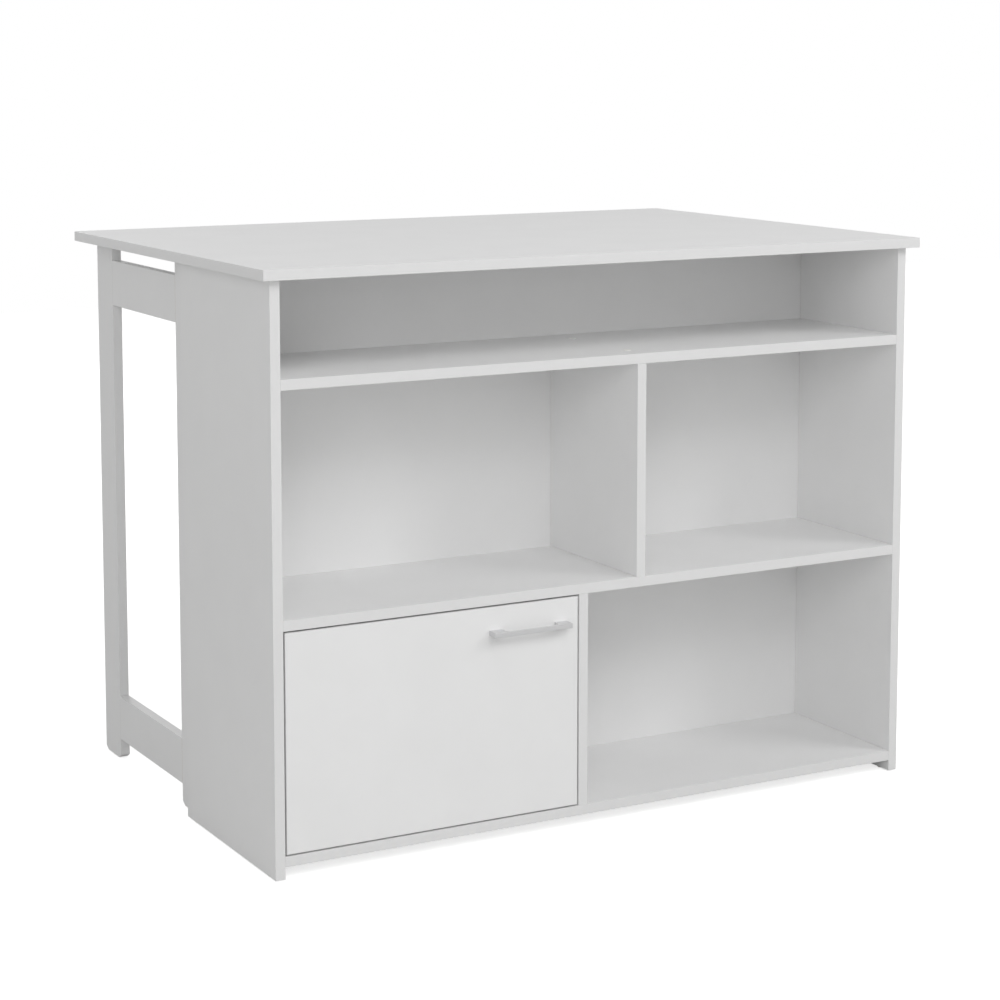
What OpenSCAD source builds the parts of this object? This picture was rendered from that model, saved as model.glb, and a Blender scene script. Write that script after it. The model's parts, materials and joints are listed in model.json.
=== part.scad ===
// Kitchen island unit: an open shelf case with one cupboard, under a deep
// worktop that two leg frames carry at the seating side.
// The unit is made of melamine faced boards of one thickness.
// x runs across the unit, y from the shelf side to the seating side, z up.
// Places below are measured from the outer face of the left side panel, from
// the front edges of the case and from the floor.  Each sub-part is then moved
// so that the origin is at the bottom centre of the whole unit.

/* [Case] */
// Width across the two side panels
case_w = 1136; // [900:1:1400]
// Height from the floor to the top of the worktop
unit_h = 900; // [870:1:1000]
// Thickness of every board
board_t = 16; // [15:0.5:19]
// Depth of a side panel
side_d = 344; // [340:1:400]
// Depth of the shelves and dividers, in front of the back board
shelf_d = 268; // [255:1:275]
// Height of the bottom shelf's underside above the floor
base_z = 20; // [12:1:40]
// Clear height of the lower compartments
lower_clear_h = 336; // [300:1:350]
// Clear height of the middle compartments
middle_clear_h = 336; // [250:1:350]
// Clear width of the cupboard behind the door
cupboard_w = 498; // [420:1:540]
// Clear width of the left middle compartment
middle_left_w = 602; // [570:1:680]

/* [Worktop] */
// Depth of the worktop, front to rear
top_d = 800; // [760:1:900]
// Overhang of the worktop past each side panel
top_side_over = 16; // [0:1:30]
// Overhang of the worktop past the front edges of the case
top_front_over = 16; // [5:1:19]
// Overhang of the worktop past the rear legs
top_rear_over = 22; // [5:1:60]

/* [Leg frames] */
// Width of a front leg board, which laps the inside of the side panel
front_leg_w = 122; // [100:1:150]
// Width of a rear leg board
rear_leg_w = 72; // [50:1:100]
// Height of the rails between the legs
rail_h = 75; // [50:1:100]
// Height of the lower rail's underside above the floor
low_rail_z = 36; // [20:1:60]
// Open slot between the upper rail and the worktop
rail_slot_h = 28; // [15:1:60]
// Length of the cut on the lower corners of a leg
leg_cut_len = 10; // [4:0.5:15]
// Height of the cut on the lower corners of a leg
leg_cut_h = 6; // [3:0.5:8]

/* [Glides] */
// Thickness of a glide's pad under a board
glide_h = 2; // [1.5:0.1:4]
// Radius of a glide's pad
glide_r = 7; // [5:0.1:7.4]
// Radius of a glide's nail
glide_nail_r = 1.1; // [0.8:0.1:1.5]
// Length of a glide's nail
glide_nail_len = 15; // [10:0.5:20]
// Distance of the side panel's glides from its front and rear edges
glide_inset = 30; // [20:1:60]

/* [Door] */
// Gap all round the door
door_gap = 2.5; // [2:0.1:4]
// Distance of a hinge's middle from the door's top or bottom edge
hinge_inset = 60; // [50:1:90]

/* [Handle] */
// Length of the handle
handle_len = 136; // [130:1:160]
// Spacing of the handle's two screws
handle_pitch = 128; // [96:1:128]
// Height of the handle's bar
handle_h = 8; // [6:0.5:12]
// Distance of the handle's outer face from the door
handle_proud = 20; // [19:0.5:30]
// Thickness of the handle's bar
handle_bar_t = 3; // [2:0.1:5]
// Width of a foot of the handle on the door
handle_foot_w = 22; // [10:1:30]
// Radius of the corners inside the handle
handle_inner_r = 6; // [2:0.5:8]
// Radius of the handle's two outer corners
handle_outer_r = 2; // [1:0.1:3]
// Distance of the handle's right end from the door's right edge
handle_edge = 20; // [10:1:60]
// Distance of the handle's middle from the door's top edge
handle_drop = 40; // [20:1:60]
// Radius of a handle screw
handle_screw_r = 2; // [1.5:0.1:2.5]
// Depth of a handle screw in the handle
handle_screw_grip = 8; // [5:0.5:12]
// Radius of a handle screw's head
handle_head_r = 4; // [3:0.1:5]
// Thickness of a handle screw's head
handle_head_t = 2.2; // [1.5:0.1:3]

/* [Hinge cup] */
// Radius of the bore for a hinge cup in the door
cup_bore_r = 17.5; // [17:0.1:18]
// Depth of that bore
cup_bore_d = 12.5; // [12:0.1:13]
// Distance from the door's edge to the cup's bore
cup_edge = 4; // [3.5:0.1:5]
// Wall of a hinge cup
cup_wall = 0.8; // [0.6:0.05:1]
// Thickness of the cup's flange on the door
cup_flange_t = 1.2; // [0.8:0.1:1.4]
// Distance of the cup's screws from its middle, up and down
cup_screw_z = 24; // [22.5:0.1:26]
// Distance of the cup's screws past its middle, away from the door's edge
cup_screw_x = 5.5; // [3:0.1:9]

/* [Hinge arm] */
// Distance of the pin from the door's edge
pin_edge = 16; // [15:0.1:16.3]
// Radius of the pin
pin_r = 2; // [1.5:0.05:2.1]
// Distance between the cup's two ears
ear_gap = 16; // [14:0.1:18]
// Thickness of an ear
ear_t = 2.6; // [2:0.1:3]
// Width of the arm's hook
hook_w = 14; // [10:0.1:15]
// Thickness of the arm's metal
arm_t = 2.5; // [2:0.1:2.6]
// Radius of the arm's eye round the pin
eye_r = 3.2; // [2.8:0.05:3.3]
// Reach of the hook past the pin, to the middle of its stem
hook_reach = 13.75; // [13:0.05:15]
// Distance from the pin's line to the middle of the hook's return
hook_return = 20; // [19.5:0.1:24]
// Length of the arm along the side panel
arm_len = 54; // [50:1:70]
// Width of the arm's channel
channel_w = 18; // [16:0.1:22]
// Height of the channel's two walls above the mounting plate
channel_h = 9; // [6:0.1:12]

/* [Hinge plate] */
// Thickness of the mounting plate
plate_t = 4; // [3:0.1:4.5]
// Height of the mounting plate's wings
plate_wing_h = 46; // [44:1:56]
// Width of the wings along the side panel
plate_wing_w = 14; // [12:0.5:20]
// Spacing of the plate's two screws
plate_pitch = 32; // [30:0.5:34]

/* [Fixings] */
// Radius of a dowel
dowel_r = 4; // [3:0.1:4.2]
// Length of a dowel in board ends
dowel_len = 32; // [24:1:40]
// Depth of a dowel in a board's face
dowel_face_depth = 10; // [8:0.5:11]
// Radius of a cam
cam_r = 7.4; // [6:0.1:7.5]
// Depth of a cam in the shelf's underside
cam_d = 12.2; // [11:0.1:12.5]
// Distance of a cam's middle from the shelf's end
cam_back = 34; // [24:0.5:40]
// Radius of the cam bolt's shank
cam_bolt_r = 3; // [2:0.1:3.4]
// Radius of the cam bolt's thread in the side panel
cam_bolt_core_r = 2.5; // [1.8:0.1:3]
// Reach of the cam bolt past the cam's middle
cam_bolt_over = 2; // [1:0.1:3]
// Depth of the cam bolt in the side panel
cam_bolt_depth = 11; // [8:0.5:12]
// Distance of the front fixings from the case's front edges
fix_front_y = 45; // [40:1:60]
// Distance of the rear fixings from the case's front edges
fix_rear_y = 213; // [180:1:220]
// Distance of a shelf's dowels from its cams
dowel_step = 32; // [25:1:40]
// Radius of a long board screw's shank
long_screw_r = 3.5; // [3:0.1:3.6]
// Radius of its thread's core
long_core_r = 2.4; // [2:0.1:2.6]
// Length of a long board screw
long_screw_len = 50; // [40:1:60]
// Radius of its head
long_head_r = 5; // [4.5:0.1:5.5]
// Radius of a cover cap
cap_r = 6.5; // [5.5:0.1:7.5]
// Thickness of a cover cap
cap_t = 1; // [0.8:0.1:2]
// Radius of a board screw
screw_r = 2; // [1.5:0.1:2.2]
// Radius of its countersunk head
screw_head_r = 3.8; // [3:0.1:4.5]
// Length of a back board screw
back_screw_len = 35; // [30:1:45]
// Length of a frame screw
frame_screw_len = 28; // [24:1:29]
// Length of a short screw for hinges, brackets and the stop
short_screw_len = 13; // [11:0.5:14]
// Radius of a short screw
short_screw_r = 1.75; // [1.3:0.05:1.9]
// Thickness of a short screw's head
short_head_t = 1.5; // [1:0.1:2]

/* [Brackets] */
// Length of a bracket's two flanges
bracket_leg = 38; // [30:1:50]
// Width of a bracket
bracket_w = 20; // [16:1:30]
// Thickness of a bracket
bracket_t = 2; // [1.5:0.1:3]

/* [Door stop] */
// Length of the door stop along the divider
stop_len = 22; // [18:1:30]
// Height of the door stop
stop_h = 12; // [10:0.5:16]
// Reach of the door stop behind the door
stop_reach = 9; // [7:0.5:12]
// Distance of the door stop from the middle shelf
stop_drop = 30; // [20:1:60]

/* [Clearances] */
// Gap between a moving piece and what it rests against
rest_gap = 0.3; // [0.2:0.05:0.6]
// Clearance round a pin
pin_clear = 0.05; // [0.02:0.01:0.1]
// Clearance round a fixing in its hole
hole_clear = 0.1; // [0.05:0.01:0.2]

/* [Hidden] */
$fn = 48;
// Heights of the boards
middle_z = base_z + board_t + lower_clear_h;
upper_z = middle_z + board_t + middle_clear_h;
top_z = unit_h - board_t;
shelf_levels = [base_z, middle_z, upper_z];
// Widths and depths of the case
inner_w = case_w - 2 * board_t;
lower_divider_x = board_t + cupboard_w;
upper_divider_x = board_t + middle_left_w;
back_y = shelf_d;
frame_y = back_y + board_t;
frame_rear_y = top_d - top_front_over - top_rear_over;
rail_y = frame_y + front_leg_w;
rail_len = frame_rear_y - rear_leg_w - rail_y;
high_rail_z = top_z - rail_slot_h - rail_h;
// The middle of the whole unit, from the handle's face to the worktop's rear edge
mid_y = (top_d - top_front_over - max(handle_proud, top_front_over)) / 2;
// Door, its hinges and its handle
door_x = board_t + door_gap;
door_z = base_z + board_t + door_gap;
door_w = cupboard_w - 2 * door_gap;
door_h = lower_clear_h - 2 * door_gap;
hinge_levels = [door_z + hinge_inset, door_z + door_h - hinge_inset];
pin_x = door_x + pin_edge;
pin_y = board_t / 2;
cup_x = door_x + cup_edge + cup_bore_r;
cup_r = cup_bore_r - hole_clear;
cup_floor_y = board_t - cup_bore_d;
ear_r = pin_y - cup_floor_y - cup_wall;
pin_len = ear_gap + 2 * ear_t;
arm_x = board_t + plate_t;
arm_y = pin_y + hook_return;
plate_mid_y = arm_y + arm_len / 2;
arm_screw_ys = [arm_y + arm_len / 4, arm_y + 3 * arm_len / 4];
handle_x = door_x + door_w - handle_edge - handle_len;
handle_z = door_z + door_h - handle_drop;
handle_screw_xs = [for (s = [-1, 1]) handle_x + (handle_len + s * handle_pitch) / 2];
stop_z = middle_z - stop_drop - stop_h;
stop_y = board_t + rest_gap;
stop_hole_y = stop_y + stop_len * 0.6;
// Fixings
fix_ys = [fix_front_y, fix_rear_y];
dowel_ys = [fix_front_y + dowel_step, fix_rear_y - dowel_step];
back_screw_edge = 60;
back_screw_n = 5;
back_screw_xs = [for (i = [0 : back_screw_n - 1])
    board_t + back_screw_edge + i * (inner_w - 2 * back_screw_edge) / (back_screw_n - 1)];
frame_screw_edge = 60;
frame_screw_n = 4;
frame_screw_zs = [for (i = [0 : frame_screw_n - 1])
    frame_screw_edge + i * (top_z - 2 * frame_screw_edge) / (frame_screw_n - 1)];
frame_screw_y = (frame_y + side_d) / 2;
top_dowel_ys = [fix_front_y, frame_y - fix_front_y];
rail_dowel_zs = [rail_h / 4, 3 * rail_h / 4];
bracket_hole_at = [bracket_leg * 0.32, bracket_leg * 0.76];
frame_mid_x = 1.5 * board_t;
leg_mid_ys = [(side_d + rail_y) / 2, frame_rear_y - rear_leg_w / 2];
side_glide_ys = [glide_inset, side_d - glide_inset];
// Extra length of a cutting solid past the face it starts from
over = 1;
white = [0.93, 0.93, 0.92];
steel = [0.72, 0.73, 0.75];
wood = [0.80, 0.66, 0.46];
plastic = [0.88, 0.88, 0.86];

// Moves a piece from the corner of the case to the unit's own origin
module in_place() {
    translate([-case_w / 2, -mid_y, 0]) children();
}

// The mirror image, at the right, of a piece drawn at the left
module to_right() {
    translate([case_w, 0, 0]) mirror([1, 0, 0]) children();
}

// A piece drawn at the left, with its mirror image
module both_sides() {
    children();
    to_right() children();
}

// Puts what stands along +z at a point, pointing another way
module aim(at, way) {
    turn = way == "right" ? [0, 90, 0]
        : way == "left" ? [0, -90, 0]
        : way == "rear" ? [-90, 0, 0]
        : way == "front" ? [90, 0, 0]
        : way == "down" ? [180, 0, 0]
        : [0, 0, 0];
    translate(at) rotate(turn) children();
}

// A straight hole or pin from a point
module rod(at, way, r, len) {
    aim(at, way) cylinder(r = r, h = len);
}

// A dowel with chamfered ends, centred on the joint between two boards
module dowel(at, way, depth) {
    chamfer = 1;
    aim(at, way) translate([0, 0, -depth]) {
        cylinder(r1 = dowel_r - chamfer, r2 = dowel_r, h = chamfer);
        translate([0, 0, chamfer]) cylinder(r = dowel_r, h = dowel_len - 2 * chamfer);
        translate([0, 0, dowel_len - chamfer]) cylinder(r1 = dowel_r, r2 = dowel_r - chamfer, h = chamfer);
    }
}

module dowel_hole(at, way, depth) {
    r = dowel_r + hole_clear;
    aim(at, way) translate([0, 0, -depth - hole_clear]) cylinder(r = r, h = dowel_len + 2 * hole_clear);
}

// A countersunk board screw, its head flush with the face it starts from
module sunk_screw(at, way, r, head_r, len, grow = 0) {
    sink = head_r - r;
    aim(at, way) {
        cylinder(r1 = head_r + grow, r2 = r + grow, h = sink);
        cylinder(r = r + grow, h = len + grow);
    }
}

// A long board screw: a thick shank in the first board, a thinner core in the second
module long_screw(at, way, grow = 0) {
    sink = long_head_r - long_screw_r;
    socket_r = 2.3;
    socket_d = 3;
    aim(at, way) difference() {
        union() {
            cylinder(r1 = long_head_r + grow, r2 = long_screw_r + grow, h = sink);
            cylinder(r = long_screw_r + grow, h = board_t);
            cylinder(r = long_core_r + grow, h = long_screw_len + grow);
        }
        if (grow == 0) translate([0, 0, -over]) cylinder(r = socket_r, h = socket_d + over);
    }
}

// A short screw with a flat round head that lies on the face
module short_screw(at, way, grow = 0) {
    aim(at, way) {
        if (grow == 0) translate([0, 0, -short_head_t]) cylinder(r = screw_head_r, h = short_head_t);
        cylinder(r = short_screw_r + grow, h = short_screw_len + grow);
    }
}

// Where the fixings lie --------------------------------------------------

// Cam, bolt and dowels at one end of each shelf, drawn at the left end
module at_shelf_ends(levels = shelf_levels) {
    for (z = levels) translate([board_t, 0, z]) children();
}

module cam(grow = 0) {
    slot_w = 1.2;
    slot_len = 1.2 * cam_r;
    slot_d = 2;
    for (y = fix_ys) translate([cam_back, y, -grow]) {
        difference() {
            cylinder(r = cam_r + grow, h = cam_d + 2 * grow);
            if (grow == 0) {
                // mouth for the bolt, open towards the side panel
                rod([-cam_r - over, 0, board_t / 2], "right", cam_bolt_r + hole_clear,
                    cam_r + over + cam_bolt_over + 2 * hole_clear);
                // cross slot for the screwdriver
                for (turn = [0, 90]) rotate([0, 0, turn])
                    translate([-slot_len / 2, -slot_w / 2, -over]) cube([slot_len, slot_w, slot_d + over]);
            }
        }
    }
}

module cam_bolt(grow = 0) {
    for (y = fix_ys) translate([0, y, board_t / 2]) {
        rod([-cam_bolt_depth - grow, 0, 0], "right", cam_bolt_core_r + grow, cam_bolt_depth + over);
        rod([-grow, 0, 0], "right", cam_bolt_r + grow, cam_back + cam_bolt_over + grow);
    }
}

module shelf_dowel_at() {
    for (y = dowel_ys) translate([0, y, board_t / 2]) children();
}

module frame_screw_set(grow = 0) {
    for (z = frame_screw_zs)
        sunk_screw([2 * board_t, frame_screw_y, z], "left", screw_r, screw_head_r, frame_screw_len, grow);
}

// Back board screws into the rear edges of the shelves and dividers
module back_screw_set(grow = 0) {
    len = back_screw_len;
    for (z = shelf_levels, x = back_screw_xs)
        sunk_screw([x, frame_y, z + board_t / 2], "front", screw_r, screw_head_r, len, grow);
    for (part = [1, 2]) {
        low = base_z + board_t + lower_clear_h * part / 3;
        high = middle_z + board_t + middle_clear_h * part / 3;
        sunk_screw([lower_divider_x + board_t / 2, frame_y, low], "front", screw_r, screw_head_r, len, grow);
        sunk_screw([upper_divider_x + board_t / 2, frame_y, high], "front", screw_r, screw_head_r, len, grow);
    }
}

module divider_screw_set(grow = 0) {
    for (y = fix_ys) {
        long_screw([lower_divider_x + board_t / 2, y, base_z], "up", grow);
        long_screw([upper_divider_x + board_t / 2, y, middle_z], "up", grow);
        long_screw([upper_divider_x + board_t / 2, y, upper_z + board_t], "down", grow);
    }
}

module divider_dowel_at() {
    for (y = fix_ys) translate([lower_divider_x + board_t / 2, y, middle_z]) children();
}

module top_dowel_at() {
    both_sides() for (y = top_dowel_ys) translate([board_t / 2, y, top_z]) children();
}

// Dowels at the two ends of a rail whose underside is at z
module rail_dowel_at(z) {
    for (dz = rail_dowel_zs) translate([frame_mid_x, rail_y, z + dz]) {
        children();
        translate([0, rail_len, 0]) rotate([0, 0, 180]) children();
    }
}

module glide_at() {
    both_sides() {
        for (y = side_glide_ys) translate([board_t / 2, y, glide_h]) children();
        for (y = leg_mid_ys) translate([frame_mid_x, y, glide_h]) children();
    }
}

// A bracket stands in the corner under the worktop, its back towards -y
module bracket_at() {
    for (i = [1 : back_screw_n - 2]) translate([back_screw_xs[i], frame_y, top_z]) children();
    both_sides() for (y = leg_mid_ys)
        translate([2 * board_t, y, top_z]) rotate([0, 0, -90]) children();
}

module bracket_screw_set(grow = 0) {
    bracket_at() for (d = bracket_hole_at) {
        short_screw([0, bracket_t, -d], "front", grow);
        short_screw([0, d, -bracket_t], "up", grow);
    }
}

module plate_screw_set(grow = 0) {
    for (z = hinge_levels, s = [-1, 1])
        short_screw([board_t + plate_t, plate_mid_y, z + s * plate_pitch / 2], "left", grow);
}

module cup_screw_set(grow = 0) {
    for (z = hinge_levels, s = [-1, 1])
        short_screw([cup_x + cup_screw_x, board_t + cup_flange_t, z + s * cup_screw_z], "front", grow);
}

module stop_screw_set(grow = 0) {
    head_x = lower_divider_x - stop_reach + short_head_t;
    short_screw([head_x, stop_hole_y, stop_z + stop_h / 2], "right", grow);
}

// Boards ------------------------------------------------------------------

module worktop() {
    color(white) in_place() difference() {
        translate([-top_side_over, -top_front_over, top_z])
            cube([case_w + 2 * top_side_over, top_d, board_t]);
        top_dowel_at() dowel_hole([0, 0, 0], "down", dowel_face_depth);
        bracket_screw_set(hole_clear);
    }
}

module glide_hole(x, y) {
    rod([x, y, 0], "up", glide_nail_r + hole_clear, glide_h + glide_nail_len + hole_clear);
}

module side_panel() {
    difference() {
        translate([0, 0, glide_h]) cube([board_t, side_d, top_z - glide_h]);
        at_shelf_ends() {
            cam_bolt(hole_clear);
            shelf_dowel_at() dowel_hole([0, 0, 0], "right", dowel_face_depth);
        }
        for (y = top_dowel_ys)
            dowel_hole([board_t / 2, y, top_z], "down", dowel_face_depth);
        for (y = side_glide_ys) glide_hole(board_t / 2, y);
        frame_screw_set(hole_clear);
    }
}

module side_left() {
    color(white) in_place() difference() {
        side_panel();
        plate_screw_set(hole_clear);
    }
}

module side_right() {
    color(white) in_place() to_right() side_panel();
}

// A shelf with the bores at its two ends and in its rear edge
module shelf(z) {
    difference() {
        translate([board_t, 0, z]) cube([inner_w, shelf_d, board_t]);
        both_sides() at_shelf_ends([z]) {
            cam(hole_clear);
            cam_bolt(hole_clear);
            shelf_dowel_at() dowel_hole([0, 0, 0], "right", dowel_face_depth);
        }
        back_screw_set(hole_clear);
        divider_screw_set(hole_clear);
    }
}

module bottom_shelf() {
    color(white) in_place() shelf(base_z);
}

module middle_shelf() {
    color(white) in_place() difference() {
        shelf(middle_z);
        divider_dowel_at() dowel_hole([0, 0, 0], "down", dowel_face_depth);
    }
}

module upper_shelf() {
    color(white) in_place() shelf(upper_z);
}

module divider(x, z, h) {
    difference() {
        translate([x, 0, z]) cube([board_t, shelf_d, h]);
        back_screw_set(hole_clear);
        divider_screw_set(hole_clear);
    }
}

module upper_divider() {
    color(white) in_place() divider(upper_divider_x, middle_z + board_t, middle_clear_h);
}

module lower_divider() {
    color(white) in_place() difference() {
        divider(lower_divider_x, base_z + board_t, lower_clear_h);
        divider_dowel_at() dowel_hole([0, 0, 0], "down", dowel_face_depth);
        stop_screw_set(hole_clear);
    }
}

module back_board() {
    color(white) in_place() difference() {
        translate([board_t, back_y, base_z]) cube([inner_w, board_t, top_z - base_z]);
        back_screw_set(hole_clear);
        bracket_screw_set(hole_clear);
    }
}

// A leg board with cut lower corners; the outline lies in the y-z plane
module leg(y, w) {
    z0 = glide_h;
    difference() {
        translate([board_t, 0, 0]) rotate([90, 0, 90]) linear_extrude(board_t) polygon([
            [y + leg_cut_len, z0],
            [y + w - leg_cut_len, z0],
            [y + w, z0 + leg_cut_h],
            [y + w, top_z],
            [y, top_z],
            [y, z0 + leg_cut_h]]);
        for (z = [low_rail_z, high_rail_z])
            rail_dowel_at(z) dowel_hole([0, 0, 0], "rear", dowel_len / 2);
        for (leg_y = leg_mid_ys) glide_hole(frame_mid_x, leg_y);
        bracket_screw_set(hole_clear);
    }
}

module front_leg() {
    difference() {
        leg(frame_y, front_leg_w);
        frame_screw_set(hole_clear);
    }
}

module rear_leg() {
    leg(frame_rear_y - rear_leg_w, rear_leg_w);
}

module rail(z) {
    difference() {
        translate([board_t, rail_y, z]) cube([board_t, rail_len, rail_h]);
        rail_dowel_at(z) dowel_hole([0, 0, 0], "rear", dowel_len / 2);
    }
}

module left_front_leg() { color(white) in_place() front_leg(); }
module left_rear_leg() { color(white) in_place() rear_leg(); }
module left_upper_rail() { color(white) in_place() rail(high_rail_z); }
module left_lower_rail() { color(white) in_place() rail(low_rail_z); }
module right_front_leg() { color(white) in_place() to_right() front_leg(); }
module right_rear_leg() { color(white) in_place() to_right() rear_leg(); }
module right_upper_rail() { color(white) in_place() to_right() rail(high_rail_z); }
module right_lower_rail() { color(white) in_place() to_right() rail(low_rail_z); }

// Door and handle -----------------------------------------------------------

module door() {
    color(white) in_place() difference() {
        translate([door_x, 0, door_z]) cube([door_w, board_t, door_h]);
        for (z = hinge_levels) rod([cup_x, cup_floor_y, z], "rear", cup_bore_r, cup_bore_d + over);
        cup_screw_set(hole_clear);
        for (x = handle_screw_xs)
            rod([x, -over, handle_z], "rear", handle_screw_r + hole_clear, board_t + 2 * over);
    }
}

// The handle's outline seen from above, with its outer face towards -y
module handle_outline() {
    gap_w = handle_len - 2 * handle_foot_w;
    gap_d = handle_proud - handle_bar_t;
    r = handle_inner_r;
    o = handle_outer_r;
    difference() {
        union() {
            translate([0, -handle_proud + o]) square([handle_len, handle_proud - o]);
            translate([o, -handle_proud]) square([handle_len - 2 * o, handle_proud]);
            for (x = [o, handle_len - o]) translate([x, -handle_proud + o]) circle(r = o);
        }
        translate([handle_foot_w, -gap_d + r]) square([gap_w, gap_d - r + over]);
        translate([handle_foot_w + r, -gap_d]) square([gap_w - 2 * r, gap_d + over]);
        for (x = [handle_foot_w + r, handle_foot_w + gap_w - r]) translate([x, -gap_d + r]) circle(r = r);
    }
}

module handle() {
    color(steel) in_place() difference() {
        translate([handle_x, 0, handle_z - handle_h / 2]) linear_extrude(handle_h) handle_outline();
        for (x = handle_screw_xs)
            rod([x, over, handle_z], "front", handle_screw_r + hole_clear,
                handle_screw_grip + hole_clear + over);
    }
}

module handle_screws() {
    color(steel) in_place() for (x = handle_screw_xs) {
        rod([x, board_t, handle_z], "front", handle_screw_r, board_t + handle_screw_grip);
        rod([x, board_t + handle_head_t, handle_z], "front", handle_head_r, handle_head_t);
    }
}

// Hinges --------------------------------------------------------------------

// The cup with its flange and the two ears that hold the pin
module hinge_cup(z) {
    rim_w = 1.5;
    lug_w = 1.2;
    flange_r = cup_bore_r + rim_w;
    lug_r = screw_head_r + lug_w;
    translate([cup_x, 0, z]) difference() {
        union() {
            rod([0, cup_floor_y + hole_clear, 0], "rear", cup_r, cup_bore_d - hole_clear);
            translate([0, board_t + cup_flange_t, 0]) rotate([90, 0, 0]) linear_extrude(cup_flange_t) {
                circle(r = flange_r);
                for (s = [-1, 1]) translate([cup_screw_x, s * cup_screw_z]) circle(r = lug_r);
                translate([cup_screw_x - lug_r, -cup_screw_z]) square([2 * lug_r, 2 * cup_screw_z]);
            }
        }
        rod([0, cup_floor_y + cup_wall, 0], "rear", cup_r - cup_wall, cup_bore_d + cup_flange_t);
        for (s = [-1, 1])
            rod([cup_screw_x, board_t - over, s * cup_screw_z], "rear", short_screw_r + hole_clear,
                cup_flange_t + 2 * over);
    }
    for (s = [-1, 1]) translate([pin_x, pin_y, z + s * (ear_gap + ear_t) / 2]) ear();
}

// One ear on the cup's floor, pierced for the pin
module ear() {
    translate([0, 0, -ear_t / 2]) linear_extrude(ear_t) difference() {
        union() {
            circle(r = ear_r);
            translate([-ear_r, -ear_r - cup_wall / 2]) square([2 * ear_r, ear_r + cup_wall / 2]);
        }
        circle(r = pin_r + pin_clear);
    }
}

// A strip of metal along a path, with round corners
module strip(path, t) {
    for (i = [1 : len(path) - 1]) {
        a = path[i - 1];
        b = path[i];
        run = norm(b - a);
        translate(a) rotate(atan2(b[1] - a[1], b[0] - a[0])) translate([0, -t / 2]) square([run, t]);
        if (i < len(path) - 1) translate(b) circle(r = t / 2);
    }
}

// The arm: an eye round the pin, a hook that reaches out of the cup, and a
// channel that lies on the mounting plate
module hinge_arm(z) {
    base_x = arm_x + arm_t / 2;
    path = [[pin_x, pin_y], [pin_x + hook_reach, pin_y], [pin_x + hook_reach, arm_y], [base_x, arm_y],
        [base_x, arm_y + arm_t]];
    translate([0, 0, z]) difference() {
        union() {
            translate([0, 0, -hook_w / 2]) linear_extrude(hook_w) {
                translate([pin_x, pin_y]) circle(r = eye_r);
                strip(path, arm_t);
            }
            channel();
        }
        translate([pin_x, pin_y, -hook_w]) cylinder(r = pin_r + pin_clear, h = 2 * hook_w);
        for (y = arm_screw_ys)
            rod([board_t, y, 0], "right", short_screw_r + hole_clear, plate_t + arm_t + over);
    }
}

module channel() {
    wall = arm_t * 0.6;
    slope_from = arm_len * 0.45;
    slope_angle = 8;
    translate([arm_x, arm_y - arm_t / 2, -channel_w / 2]) difference() {
        cube([channel_h, arm_len, channel_w]);
        translate([arm_t, -over, wall]) cube([channel_h, arm_len + 2 * over, channel_w - 2 * wall]);
        // the walls slope down towards the rear end
        translate([channel_h, slope_from, -over]) rotate([0, 0, slope_angle])
            cube([channel_h, arm_len, channel_w + 2 * over]);
    }
}

module hinge_plate(z) {
    foot_len = arm_len - arm_t;
    wing_mid_z = (plate_wing_h - plate_wing_w) / 2;
    translate([board_t, 0, z]) difference() {
        union() {
            translate([0, arm_y, -channel_w / 2]) cube([plate_t, foot_len, channel_w]);
            translate([0, plate_mid_y - plate_wing_w / 2, -wing_mid_z])
                cube([plate_t, plate_wing_w, 2 * wing_mid_z]);
            for (s = [-1, 1]) rod([0, plate_mid_y, s * wing_mid_z], "right", plate_wing_w / 2, plate_t);
        }
        for (at = [[plate_mid_y, plate_pitch / 2], [plate_mid_y, -plate_pitch / 2],
                [arm_screw_ys[0], 0], [arm_screw_ys[1], 0]])
            rod([-over, at[0], at[1]], "right", short_screw_r + hole_clear, plate_t + 2 * over);
    }
}

module upper_hinge_cup() { color(steel) in_place() hinge_cup(hinge_levels[1]); }
module lower_hinge_cup() { color(steel) in_place() hinge_cup(hinge_levels[0]); }
module upper_hinge_arm() { color(steel) in_place() hinge_arm(hinge_levels[1]); }
module lower_hinge_arm() { color(steel) in_place() hinge_arm(hinge_levels[0]); }
module upper_hinge_plate() { color(steel) in_place() hinge_plate(hinge_levels[1]); }
module lower_hinge_plate() { color(steel) in_place() hinge_plate(hinge_levels[0]); }

module hinge_pins() {
    color(steel) in_place() for (z = hinge_levels)
        translate([pin_x, pin_y, z - pin_len / 2]) cylinder(r = pin_r, h = pin_len);
}

module hinge_cup_screws() { color(steel) in_place() cup_screw_set(); }
module hinge_plate_screws() { color(steel) in_place() plate_screw_set(); }

// On each arm a screw that sets the door sideways and one that clamps the arm
module hinge_arm_screws() {
    color(steel) in_place() for (z = hinge_levels, y = arm_screw_ys) translate([arm_x + arm_t, y, z]) {
        rod([0, 0, 0], "left", short_screw_r, arm_t + plate_t);
        rod([0, 0, 0], "right", screw_head_r, short_head_t);
    }
}

// Door stop -----------------------------------------------------------------

// A block with a slanted rear corner and a sunk seat for its screw's head
module door_stop() {
    slant = stop_reach * 0.6;
    at = [lower_divider_x - stop_reach, stop_y, stop_z];
    color(plastic) in_place() difference() {
        translate(at) linear_extrude(stop_h) polygon([
            [0, 0],
            [stop_reach, 0],
            [stop_reach, stop_len],
            [slant, stop_len],
            [0, stop_len - slant]]);
        stop_screw_set(hole_clear);
        rod([at[0] - over, stop_hole_y, stop_z + stop_h / 2], "right", screw_head_r + hole_clear,
            over + short_head_t);
    }
}

module door_stop_screw() { color(steel) in_place() stop_screw_set(); }

// Case fixings ----------------------------------------------------------------

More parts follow.
